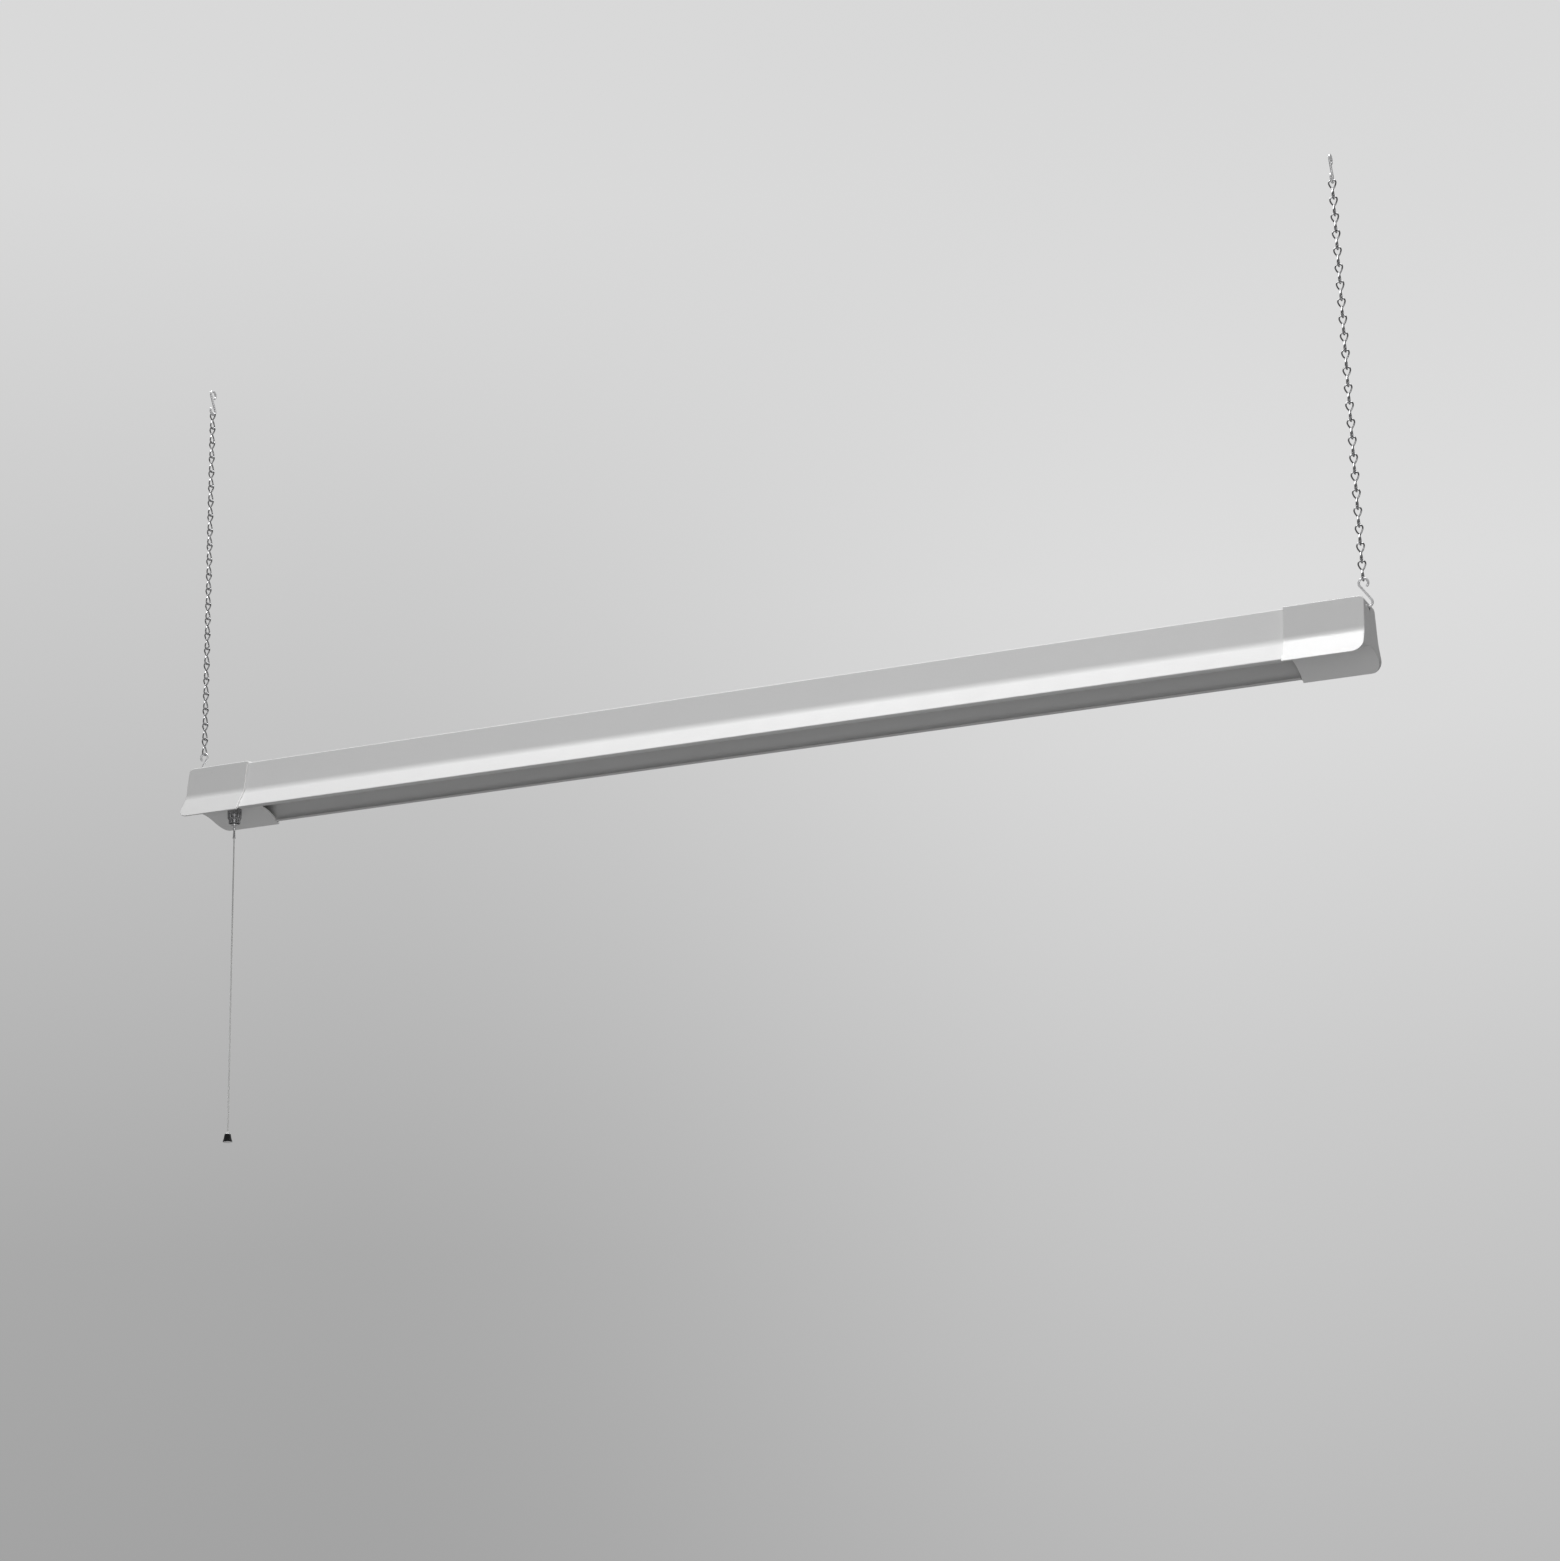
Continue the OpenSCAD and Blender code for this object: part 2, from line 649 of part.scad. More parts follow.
// Metal link: a socket for the rod's ball above, a bell mouth for the knotted cord below
module cord_link() {
    color("dimgray") fixture() translate([switch_x, 0, 0]) difference() {
        union() {
            translate([0, 0, link_low]) cylinder(r = link_r, h = link_len - 1);
            translate([0, 0, ball_z - 2.4]) cylinder(r = 2.2, h = 3.4);
        }
        translate([0, 0, ball_z]) sphere(ball_r + 0.08);
        translate([0, 0, ball_z]) cylinder(r1 = 0.7, r2 = 1.25, h = 1.6);
        translate([0, 0, knot_z]) sphere(knot_r + 0.08);
        translate([0, 0, link_low - 0.4]) cylinder(r1 = 1.5, r2 = 0.75, h = 3.8);
    }
}

module pull_cord() {
    color("silver") fixture() translate([switch_x, 0, 0]) union() {
        translate([0, 0, knot_z]) sphere(knot_r);
        translate([0, 0, link_low - cord_len]) cylinder(r = cord_d / 2, h = cord_len + knot_z - link_low);
    }
}

// Bell-shaped knob, bored from above for the cord
module cord_knob() {
    bore = cord_d / 2 + 0.05;
    seat = knob_h - 3;
    color("gray") fixture() translate([switch_x, 0, knob_z]) rotate_extrude()
        polygon([[0, 0], [knob_r - 0.4, 0], [knob_r, 0.8], [knob_r - 0.3, 1.8], [knob_r * 0.75, seat - 1],
            [knob_r * 0.64, knob_h - 1.2], [knob_r * 0.47, knob_h], [bore, knob_h], [bore, seat], [0, seat]]);
}

module arc(radius, r, a0, a1) {
    rotate([90, 0, 0]) rotate([0, 0, a0]) rotate_extrude(angle = a1 - a0) translate([radius, 0]) circle(r);
}

// S-hook in the X and Z plane; its lower loop's centre is the origin, and both its ends are open
module s_hook(free_end) {
    lean = asin(2 * hook_loop / hook_span);
    dir = [cos(lean), 0, sin(lean)];
    along = [-sin(lean), 0, cos(lean)];
    union() {
        arc(hook_loop, hook_r, free_end, 360 + lean);
        rod(hook_loop * dir - 0.3 * along, [0, 0, hook_span] - hook_loop * dir + 0.3 * along, hook_r - 0.04);
        translate([0, 0, hook_span]) arc(hook_loop, hook_r, -30, 180 + lean);
    }
}

// Hook between the ceiling and the chain, turned across the chain's first ring
module ceiling_hook() {
    translate([chain_x, 0, -hook_eye - hook_span]) rotate([0, 0, 90]) s_hook(150);
}

// Hook through the end wall of a cap
module lower_hook() {
    translate([hook_x, 0, lower_hook_rest + hook_eye]) rotate([0, -hook_tilt, 0]) s_hook(218 - hook_tilt);
}

// One jack-chain link: two rings set across each other
module link(k) {
    translate([chain_x, 0, link_top - k * chain_pitch - link_inside / 2]) union() {
        translate([0, 0, link_ring]) rotate([90, 0, 0]) rotate_extrude() translate([link_ring, 0]) circle(wire_r);
        translate([0, 0, -link_ring]) rotate([0, 90, 0]) rotate_extrude() translate([link_ring, 0]) circle(wire_r);
    }
}

module left_ceiling_hook() {
    color("silver") mirror([1, 0, 0]) ceiling_hook();
}

module right_ceiling_hook() {
    color("silver") ceiling_hook();
}

module left_top_link() {
    color("lightgray") mirror([1, 0, 0]) link(0);
}

module right_top_link() {
    color("lightgray") link(0);
}

module left_chain() {
    color("lightgray") mirror([1, 0, 0]) for (k = [1:chain_links - 1]) link(k);
}

module right_chain() {
    color("lightgray") for (k = [1:chain_links - 1]) link(k);
}

module left_lower_hook() {
    color("silver") mirror([1, 0, 0]) lower_hook();
}

module right_lower_hook() {
    color("silver") lower_hook();
}

housing();
left_end_cap();
right_end_cap();
end_cap_screws();
tray_brackets();
led_tray();
tray_screws();
led_board_left();
led_board_right();
led_chips_left();
led_chips_right();
board_screws();
board_link_wires();
diffuser();
driver_case();
driver_cover();
driver_board();
driver_screws();
terminal_block();
ground_screw();
inlet_bushing();
switch_wires();
driver_wires();
led_wires();
switch_body();
switch_terminals();
switch_spring();
switch_collar();
switch_ferrule();
pull_rod();
cord_link();
pull_cord();
cord_knob();
left_ceiling_hook();
right_ceiling_hook();
left_top_link();
right_top_link();
left_chain();
right_chain();
left_lower_hook();
right_lower_hook();
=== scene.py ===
from math import asin, atan2, cos, pi, radians, sin, sqrt, tan

import bmesh
import bpy
import numpy as np
from mathutils import Matrix, Vector


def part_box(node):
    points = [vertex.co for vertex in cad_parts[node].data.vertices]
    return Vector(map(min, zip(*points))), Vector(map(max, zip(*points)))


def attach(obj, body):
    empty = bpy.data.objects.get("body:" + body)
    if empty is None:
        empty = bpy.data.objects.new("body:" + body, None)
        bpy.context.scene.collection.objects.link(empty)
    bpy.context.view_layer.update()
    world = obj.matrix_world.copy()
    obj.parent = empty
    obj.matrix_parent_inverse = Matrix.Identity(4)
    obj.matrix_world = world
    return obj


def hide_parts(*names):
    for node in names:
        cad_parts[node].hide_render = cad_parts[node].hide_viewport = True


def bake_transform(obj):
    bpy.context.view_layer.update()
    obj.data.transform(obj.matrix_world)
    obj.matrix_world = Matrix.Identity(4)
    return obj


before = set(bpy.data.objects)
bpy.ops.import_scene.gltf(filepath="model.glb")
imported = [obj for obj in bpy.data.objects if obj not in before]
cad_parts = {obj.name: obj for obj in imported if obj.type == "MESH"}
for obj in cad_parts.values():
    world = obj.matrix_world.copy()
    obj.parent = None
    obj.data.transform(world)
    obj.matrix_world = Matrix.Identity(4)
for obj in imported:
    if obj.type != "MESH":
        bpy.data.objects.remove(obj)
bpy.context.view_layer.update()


# Camera: it stands below the lamp, near its right-hand end, and looks up and to the left.
# The lamp hangs with its top level, and its own height comes from the CAD end cap.

MM = 0.001
fixture_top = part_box("left_end_cap")[1].z
yaw = radians(-24.1149)
pitch = radians(13.9031)
roll = radians(-1.47495)
ahead = Vector((sin(yaw) * cos(pitch), cos(yaw) * cos(pitch), sin(pitch)))
level = Vector((cos(yaw), -sin(yaw), 0.0))
above = level.cross(ahead)
camera_right = cos(roll) * level + sin(roll) * above
camera_up = cos(roll) * above - sin(roll) * level
stand = Vector((1.084866, -2.320584, fixture_top - 0.718152))
camera = bpy.data.objects.new("camera", bpy.data.cameras.new("camera"))
turned = Matrix((camera_right, camera_up, -ahead)).transposed().to_4x4()
camera.matrix_world = Matrix.Translation(stand) @ turned
focal_pixels = 2840.97
frame_pixels = 1561
camera.data.lens = camera.data.sensor_width * focal_pixels / frame_pixels
bpy.context.scene.collection.objects.link(camera)
bpy.context.scene.camera = camera
bpy.context.scene.view_settings.view_transform = "Standard"


# Studio: a pale backdrop that only the camera and glossy surfaces see, paler to the upper right,
# with a weak even fill, a broad lamp overhead, a weak one low in front and a plain pale floor,
# which is clear from below.

class Wire:
    """One output of a shader node. Python's + - * / on it add Math nodes to the same tree."""

    def __init__(self, tree, socket=None):
        self.tree = tree
        self.socket = socket

    def add(self, kind, settings=None, sockets=None, out=0):
        """Add a node of this kind: its settings first, then values or wires into its sockets."""
        node = self.tree.nodes.new(kind)
        for name, value in (settings or {}).items():
            if name == "stops":
                node.color_ramp.elements.remove(node.color_ramp.elements[1])
                node.color_ramp.elements[0].position = value[0][0]
                for place, _ in value[1:]:
                    node.color_ramp.elements.new(place)
                for element, (_, shade) in zip(node.color_ramp.elements, value):
                    element.color = (shade, shade, shade, 1.0)
            else:
                setattr(node, name, value)
        self.fill(node, sockets or {})
        return Wire(self.tree, node.outputs[out] if node.outputs else None)

    def fill(self, node, sockets):
        """Put values or wires into a node's sockets."""
        for name, value in sockets.items():
            if isinstance(value, Wire):
                self.tree.links.new(value.socket, node.inputs[name])
            else:
                node.inputs[name].default_value = value

    def maths(self, operation, *terms):
        """A Math node with this operation on the given terms."""
        return self.add("ShaderNodeMath", {"operation": operation}, dict(enumerate(terms)))

    def __add__(self, other):
        return self.maths("ADD", self, other)

    def __sub__(self, other):
        return self.maths("SUBTRACT", self, other)

    def __rsub__(self, other):
        return self.maths("SUBTRACT", other, self)

    def __mul__(self, other):
        return self.maths("MULTIPLY", self, other)

    __radd__ = __add__
    __rmul__ = __mul__


world = bpy.data.worlds.new("studio")
world.use_nodes = True
world.node_tree.nodes.clear()
bpy.context.scene.world = world
sky = Wire(world.node_tree)
direction = sky.add("ShaderNodeTexCoord", out="Generated")
height = sky.add("ShaderNodeSeparateXYZ", sockets={0: direction}, out=2)
across = sky.add("ShaderNodeVectorMath", {"operation": "DOT_PRODUCT"}, {0: direction, 1: level}, 1)
rise = (height + 0.1) * (1 / 0.6)
left_shade = sky.add("ShaderNodeValToRGB",
                     {"stops": [(0.0, 0.34), (0.3, 0.40), (0.633, 0.575), (0.883, 0.694)]}, {0: rise})
right_shade = sky.add("ShaderNodeValToRGB",
                      {"stops": [(0.0, 0.44), (0.383, 0.597), (0.583, 0.70), (0.667, 0.722),
                                 (0.967, 0.69)]}, {0: rise})
sideways = sky.add("ShaderNodeMapRange", {"interpolation_type": "SMOOTHSTEP"},
                   {"Value": across, "From Min": -0.17, "From Max": 0.165})
backdrop = sky.add("ShaderNodeMix", {"data_type": "RGBA"},
                   {0: sideways, 6: left_shade, 7: right_shade}, 2)
ray = {name: sky.add("ShaderNodeLightPath", out=name)
       for name in ("Is Camera Ray", "Is Glossy Ray", "Is Transmission Ray")}
forward = sky.add("ShaderNodeVectorMath", {"operation": "DOT_PRODUCT"}, {0: direction, 1: ahead}, 1)
dimming = sky.add("ShaderNodeMapRange", {"interpolation_type": "SMOOTHSTEP"},
                  {"Value": forward, "From Min": -0.4, "From Max": 0.5, "To Min": 0.25, "To Max": 0.55})
gloss_strength = 1 - ray["Is Glossy Ray"] * (1 - dimming)
fill_light = sky.add("ShaderNodeBackground", sockets={"Color": (0.10, 0.10, 0.10, 1.0)})
seen_light = sky.add("ShaderNodeBackground", sockets={"Color": backdrop, "Strength": gloss_strength})
seen = sky.maths("MAXIMUM", sky.maths("MAXIMUM", ray["Is Camera Ray"], ray["Is Glossy Ray"]),
                 ray["Is Transmission Ray"])
sky.add("ShaderNodeOutputWorld", sockets={"Surface": sky.add(
    "ShaderNodeMixShader", sockets={0: seen, 1: fill_light, 2: seen_light})})


def softbox(name, aim, toward, distance, width, depth, power):
    """A rectangular lamp that stands at this distance from its aim, in the direction toward."""
    box = bpy.data.objects.new(name, bpy.data.lights.new(name, "AREA"))
    box.data.shape = "RECTANGLE"
    box.data.size = width
    box.data.size_y = depth
    box.data.energy = power
    toward = Vector(toward).normalized()
    box.location = Vector(aim) + distance * toward
    box.rotation_euler = toward.to_track_quat("Z", "Y").to_euler()
    box.visible_camera = False
    bpy.context.scene.collection.objects.link(box)


softbox("overhead_lamp", (-0.25, 0.0, fixture_top), (0.0, -0.12, 0.86), 3.0, 3.4, 1.6, 118.0)
softbox("front_lamp", (0.55, 0.0, fixture_top), (0.3, -0.85, -0.1), 2.4, 2.0, 0.8, 10.2)


def surface(name, recipe):
    """A material made of one Principled shader. The recipe takes the object position as a wire and
    returns the shader's sockets by name; Height, with Relief in metres, becomes a bump."""
    made = bpy.data.materials.new(name)
    made.use_nodes = True
    tree = Wire(made.node_tree)
    place = tree.add("ShaderNodeTexCoord", out="Object")
    sockets = recipe(place)
    relief = sockets.pop("Relief", 0.0)
    if "Height" in sockets:
        sockets["Normal"] = place.add(
            "ShaderNodeBump", sockets={"Height": sockets.pop("Height"), "Distance": relief})
    tree.fill(made.node_tree.nodes["Principled BSDF"], sockets)
    return made


def grain(place, scale, detail=2.0):
    """Noise between about 0.3 and 0.7 whose patches are about 1 / scale metres wide."""
    return place.add("ShaderNodeTexNoise", sockets={"Vector": place, "Scale": scale, "Detail": detail})


def tone(mask, first, second):
    """A colour that goes from the first to the second as the mask goes from 0 to 1."""
    return mask.add("ShaderNodeMix", {"data_type": "RGBA"},
                    {0: mask, 6: (*first, 1.0), 7: (*second, 1.0)}, 2)


def floor_paint(place):
    watched = place.add("ShaderNodeLightPath", out="Is Camera Ray")
    mottle = grain(place, 3.0) * 0.04
    return {"Base Color": tone(watched + mottle, (0.47, 0.47, 0.47), (0.66, 0.66, 0.66)),
            "Roughness": 0.9,
            "Alpha": 1 - place.add("ShaderNodeNewGeometry", out="Backfacing")}


floor_radius = 2.4
floor_height = fixture_top - 0.985
turn = np.linspace(0, 2 * pi, 97)[:-1]
floor_rim = np.stack([floor_radius * np.cos(turn), floor_radius * np.sin(turn),
                      np.full(turn.size, floor_height)], axis=-1)
floor_mesh = bpy.data.meshes.new("floor")
floor_mesh.from_pydata(floor_rim.tolist(), [], [list(range(turn.size))])
floor_mesh.materials.append(surface("floor_paint", floor_paint))
studio_floor = bpy.data.objects.new("floor", floor_mesh)
bpy.context.scene.collection.objects.link(studio_floor)


# Lamp body: one strip of 0.8 mm steel, folded into a narrow channel with two flared wings, whose
# lower edges are turned in. It is powder coated white, with a faint orange peel.

def unit(vector):
    """The vector shortened or lengthened to 1."""
    return vector / np.linalg.norm(vector)


def corner(before, peak, after, radius, count):
    """Round the corner at peak: points of the circle that touches both of its sides, in order."""
    back = unit(before - peak)
    on = unit(after - peak)
    half = np.arccos(np.clip(back @ on, -1, 1)) / 2
    middle = peak + unit(back + on) * radius / sin(half)
    start = peak + back * radius / tan(half) - middle
    end = peak + on * radius / tan(half) - middle
    first = atan2(start[1], start[0])
    sweep = (atan2(end[1], end[0]) - first + pi) % (2 * pi) - pi
    angle = first + sweep * np.linspace(0, 1, count)
    return middle + radius * np.stack([np.cos(angle), np.sin(angle)], axis=-1)


def meet(first_normal, first_offset, second_normal, second_offset):
    """The point where two lines cross, each given by its normal and its distance from the origin."""
    return np.linalg.solve(np.array([first_normal, second_normal]),
                           np.array([first_offset, second_offset]))


top_half = 19.5
fold_round = 17.0
fold_point = np.array([25.0, -32.0])
tip_point = np.array([39.0, -54.0])
side_normal = unit(np.array([-fold_point[1], fold_point[0] - top_half]))
wing_normal = unit(np.array([fold_point[1] - tip_point[1], tip_point[0] - fold_point[0]]))


def side_offset(inset):
    """Distance of the side's line from the origin, moved in by inset."""
    return side_normal @ np.array([top_half, 0.0]) - inset


def wing_offset(inset):
    """Distance of the wing's line from the origin, moved in by inset."""
    return wing_normal @ tip_point - inset


def wing_at(inset, depth):
    """Half width of the wing at this height, moved in by inset."""
    return (wing_offset(inset) - wing_normal[1] * depth) / wing_normal[0]


def mirrored(half):
    """A right-hand half outline with its left-hand half in front of it."""
    return np.concatenate([half[::-1] * [-1, 1], half])


def skin(points, looped=False, strip=False):
    """Faces over rings of points: each ring closes on itself and is joined to the next one.
    A looped skin joins its last ring to its first. Otherwise each end gets one flat face, or, for a
    strip, a ladder between the two sides of the ring."""
    rings, around = points.shape[:2]
    cell = np.arange(rings * around).reshape(rings, around)
    beside = np.roll(cell, -1, axis=1)
    last = rings if looped else rings - 1
    after = np.roll(cell, -1, axis=0)
    after_beside = np.roll(beside, -1, axis=0)
    quads = np.stack([cell, beside, after_beside, after], axis=-1)[:last].reshape(-1, 4).tolist()
    if looped:
        return quads
    if not strip:
        return quads + [cell[0][::-1].tolist(), cell[-1].tolist()]
    near = np.arange(around // 2 - 1)
    ladder = np.stack([near, near + 1, around - 2 - near, around - 1 - near], axis=-1)
    return quads + cell[0][ladder][:, ::-1].tolist() + cell[-1][ladder].tolist()


def make(name, shells, finish, body, nodes, sharp=30):
    """A piece from shells, each a pair of points and faces: its finish, the body it rides on (None
    for one that rides on none), and the CAD nodes it stands for."""
    points = np.concatenate([shell[0].reshape(-1, 3) for shell in shells]) * MM
    faces = []
    count = 0
    for shell_points, shell_faces in shells:
        faces += [[count + index for index in face] for face in shell_faces]
        count += shell_points.reshape(-1, 3).shape[0]
    mesh = bpy.data.meshes.new(name)
    mesh.from_pydata(points.tolist(), [], faces)
    shape = bmesh.new()
    shape.from_mesh(mesh)
    bmesh.ops.recalc_face_normals(shape, faces=shape.faces)
    shape.to_mesh(mesh)
    shape.free()
    mesh.shade_smooth()
    mesh.set_sharp_from_angle(angle=radians(sharp))
    mesh.materials.append(finish)
    piece = bpy.data.objects.new(name, mesh)
    bpy.context.scene.collection.objects.link(piece)
    if body:
        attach(piece, body)
    if nodes:
        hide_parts(*nodes)
    return piece


def tube(path, radius, side, looped=False, around=10, round_ends=False):
    """A round bar along a path: each ring is the point plus radius times cos and sin of the angle,
    along the side direction made square to the path and the direction square to both. Round ends
    add rings that shrink as a quarter circle."""
    if looped:
        along = np.roll(path, -1, axis=0) - np.roll(path, 1, axis=0)
    else:
        along = np.gradient(path, axis=0)
    radius = np.full(len(path), float(radius)) if np.isscalar(radius) else radius
    if round_ends:
        step = np.radians([78, 56, 34, 14])[:, None]
        start = path[0] - unit(along[0]) * radius[0] * np.sin(step)
        end = path[-1] + unit(along[-1]) * radius[-1] * np.sin(step[::-1])
        path = np.concatenate([start, path, end])
        along = np.concatenate([along[:1].repeat(4, 0), along, along[-1:].repeat(4, 0)])
        radius = np.concatenate([radius[0] * np.cos(step[:, 0]), radius,
                                 radius[-1] * np.cos(step[::-1, 0])])
    along = along / np.linalg.norm(along, axis=1)[:, None]
    side = np.broadcast_to(side, path.shape)
    out = side - np.sum(side * along, axis=1)[:, None] * along
    out = out / np.linalg.norm(out, axis=1)[:, None]
    other = np.cross(along, out)
    angle = np.linspace(0, 2 * pi, around + 1)[:-1]
    rings = (np.cos(angle)[None, :, None] * out[:, None] + np.sin(angle)[None, :, None] * other[:, None])
    points = path[:, None] + radius[:, None, None] * rings
    return points, skin(points, looped)


def drill(piece, rods):
    """Cut round holes through a piece, one for each rod, and keep the result in its mesh."""
    cutter = make("drill", rods, piece.data.materials[0], "fixture", [])
    cut = piece.modifiers.new("holes", "BOOLEAN")
    cut.object = cutter
    cut.solver = "EXACT"
    scene_now = bpy.context.evaluated_depsgraph_get()
    settled = bpy.data.meshes.new_from_object(piece.evaluated_get(scene_now))
    piece.modifiers.clear()
    piece.data = settled
    bpy.data.objects.remove(cutter)
    even = piece.modifiers.new("even_shading", "WEIGHTED_NORMAL")
    even.keep_sharp = True


top_mm = fixture_top / MM
body_inset = 1.8
sheet = 0.8
middle_inset = body_inset + sheet / 2
lip_depth = tip_point[1] + body_inset
lip_width = 6.0
seam = 530.0
body_end = 545.0
shoulder = meet((0.0, 1.0), -middle_inset, side_normal, side_offset(middle_inset))
fold = meet(side_normal, side_offset(middle_inset), wing_normal, wing_offset(middle_inset))


def white_enamel(place):
    """White, with painted shade within the wings: greyer below the folds and behind the middle of
    the sheet, as measured along the wing's normal."""
    across, height = (place.add("ShaderNodeSeparateXYZ", sockets={0: place}, out=axis)
                      for axis in (1, 2))
    below_top = height - fixture_top
    out = place.maths("ABSOLUTE", across) * float(wing_normal[0]) + below_top * float(wing_normal[1])
    behind = place.maths("LESS_THAN", out, float(wing_offset(middle_inset)) * MM)
    # Painted shade: the wings' insides are greyed, 0.62 against 0.85, where they lie in shade.
    painted_shade = behind * place.maths("LESS_THAN", below_top, float(fold[1]) * MM)
    clouds = grain(place, 7.0) * 0.14
    return {"Base Color": tone(painted_shade * 0.86 + clouds, (0.85, 0.85, 0.85), (0.62, 0.62, 0.62)),
            "Roughness": grain(place, 55.0) * 0.12 + 0.46,
            "Height": grain(place, 420.0, 1.0),
            "Relief": 0.00004}


enamel = surface("white_enamel", white_enamel)
hem_depth = lip_depth + sheet / 2
hem = np.array([wing_at(middle_inset, hem_depth), hem_depth])
hem_end = np.array([wing_at(body_inset + sheet, lip_depth) + 0.15 - lip_width, hem_depth])
upper_half = np.concatenate([corner(np.array([0.0, -middle_inset]), shoulder, fold, 0.7, 7),
                             corner(shoulder, fold, hem, fold_round + middle_inset, 11)])
hemmed_half = np.concatenate([upper_half, corner(fold, hem, hem_end, 0.75, 6), hem_end[None]])
tongue_low = np.linspace(lip_depth + 1.2, lip_depth, 7)
tongue_half = np.concatenate([upper_half, np.stack(
    [wing_at(middle_inset, tongue_low), tongue_low], axis=-1)])


def folded_ring(half, x):
    """The strip's closed outline at x: its middle line moved out and in by half the thickness."""
    line = mirrored(half)
    along = np.gradient(line, axis=0)
    out = np.stack([-along[:, 1], along[:, 0]], axis=-1) / np.linalg.norm(along, axis=1)[:, None]
    ring = np.concatenate([line + out * sheet / 2, (line - out * sheet / 2)[::-1]])
    return np.column_stack([np.full(len(ring), x), ring[:, 0], ring[:, 1] + top_mm])


body_rings = [folded_ring(tongue_half, -body_end), folded_ring(tongue_half, 0.55 - seam),
              folded_ring(hemmed_half, 0.5 - seam)]
body_rings += [folded_ring(hemmed_half, x) for x in np.linspace(-500, 500, 11)]
body_rings += [folded_ring(hemmed_half, seam - 0.5), folded_ring(tongue_half, seam - 0.55),
               folded_ring(tongue_half, body_end)]
body_rings = np.array(body_rings)
lamp_body = make("lamp_body", [(body_rings, skin(body_rings, strip=True))], enamel, "fixture",
                 ["housing"])
inlet_x = -350.0
inlet_hole = 9.0
screw_x = seam + 7.5
screw_hole = 1.6
drill(lamp_body, [tube(np.array([[x, 0, top_mm - 12], [x, 0, top_mm + 4.0]]), radius,
                       np.array([1.0, 0, 0]), around=48)
                  for x, radius in ((inlet_x, inlet_hole), (-screw_x, screw_hole), (screw_x, screw_hole))])


# End caps: moulded white plastic, one mirroring the other, 1.6 mm thick and a little proud of the
# body that they slide over. An arch runs under each, and its end wall has an eye for the S-hook.

def white_plastic(place):
    """White with faint clouds, and a painted highlight: paler on the thin rim that faces the body."""
    fine = grain(place, 2600.0, 1.0)
    along = place.add("ShaderNodeSeparateXYZ", sockets={0: place})
    # Painted highlight: the thin rim facing the body is made paler, toward 0.96, as if it caught the
    # light.
    painted_highlight_rim = place.maths("LESS_THAN", place.maths("ABSOLUTE", along), (seam + 0.3) * MM)
    return {"Base Color": tone(grain(place, 12.0) * 0.15 + painted_highlight_rim * 0.9, (0.745, 0.745, 0.745),
                               (0.96, 0.96, 0.95)),
            "Roughness": grain(place, 90.0) * 0.14 + 0.24,
            "Height": fine,
            "Relief": 0.000012,
            "Coat Weight": 0.1,
            "Coat Roughness": 0.2}


cap_plastic = surface("white_plastic", white_plastic)
cap_end = 600.0
cap_wall = 1.6
end_wall = 2.2
crown_depth = 42.5
arch_edge = tip_point[0] - 1.2 * cap_wall
arch_rise = -tip_point[1] - crown_depth
arch_radius = (arch_edge ** 2 + arch_rise ** 2) / (2 * arch_rise)
arch_centre = -crown_depth - arch_radius


def cap_ring(x, inset, high, low, grow, tip_radius):
    """A cap's closed outline at x: level top, side, fold and wing on each half, level lower edges,
    and the arch between them, which is a circle of arch_radius + grow about arch_centre."""
    top = meet((0.0, 1.0), high, side_normal, side_offset(inset))
    bend = meet(side_normal, side_offset(inset), wing_normal, wing_offset(inset))
    tip = np.array([wing_at(inset, low), low])
    round_arch = arch_radius + grow
    foot = sqrt(round_arch ** 2 - (low - arch_centre) ** 2)
    right = np.concatenate([corner(np.array([0.0, high]), top, bend, 1.6, 7),
                            corner(top, bend, tip, fold_round + inset, 11),
                            corner(bend, tip, np.array([foot, low]), tip_radius, 5)])
    angle = np.linspace(asin(foot / round_arch), 0, 16)[:-1]
    under = np.stack([round_arch * np.sin(angle), arch_centre + round_arch * np.cos(angle)], axis=-1)
    half = np.concatenate([right, under])
    crown = np.array([[0.0, arch_centre + round_arch]])
    ring = np.concatenate([half, crown, half[::-1] * [-1, 1]])
    return np.column_stack([np.full(len(ring), x), ring[:, 0], ring[:, 1] + top_mm])


def quarter(x, centre, radius):
    """How far a quarter circle has fallen from its level start once x is past its centre."""
    past = np.clip(x - centre, 0, radius)
    return radius - sqrt(radius ** 2 - past ** 2)


quarter_turn = np.linspace(0, pi / 2, 9)
mouth_round = 0.4
edge_round = 0.8
tip_round = 10.0
crown_round = 5.0
inner_crown = 3.4
inner_round = tip_round - end_wall
tip_start = cap_end - tip_round
edge_start = cap_end - edge_round
mouth_mirror = 2 * (seam + mouth_round)
outer_x = np.concatenate([[seam, seam + 0.12, seam + mouth_round],
                          tip_start + tip_round * np.sin(quarter_turn[:7]),
                          [cap_end - 0.4, cap_end - 0.14, cap_end]])
outer_rings = [cap_ring(x, quarter(x, edge_start, edge_round)
                        + quarter(mouth_mirror - x, seam + mouth_round, mouth_round),
                        -quarter(x, cap_end - crown_round, crown_round)
                        - quarter(mouth_mirror - x, seam + mouth_round, mouth_round),
                        quarter(x, tip_start, tip_round) + tip_point[1],
                        quarter(x, edge_start, edge_round), 0.45)
               for x in outer_x]
depths = np.linspace(tip_point[1], -45, 1801)
inner_arch = np.sqrt((arch_radius + cap_wall) ** 2 - (depths - arch_centre) ** 2)
inner_low = depths[wing_at(cap_wall, depths) - inner_arch > 0.1].min()
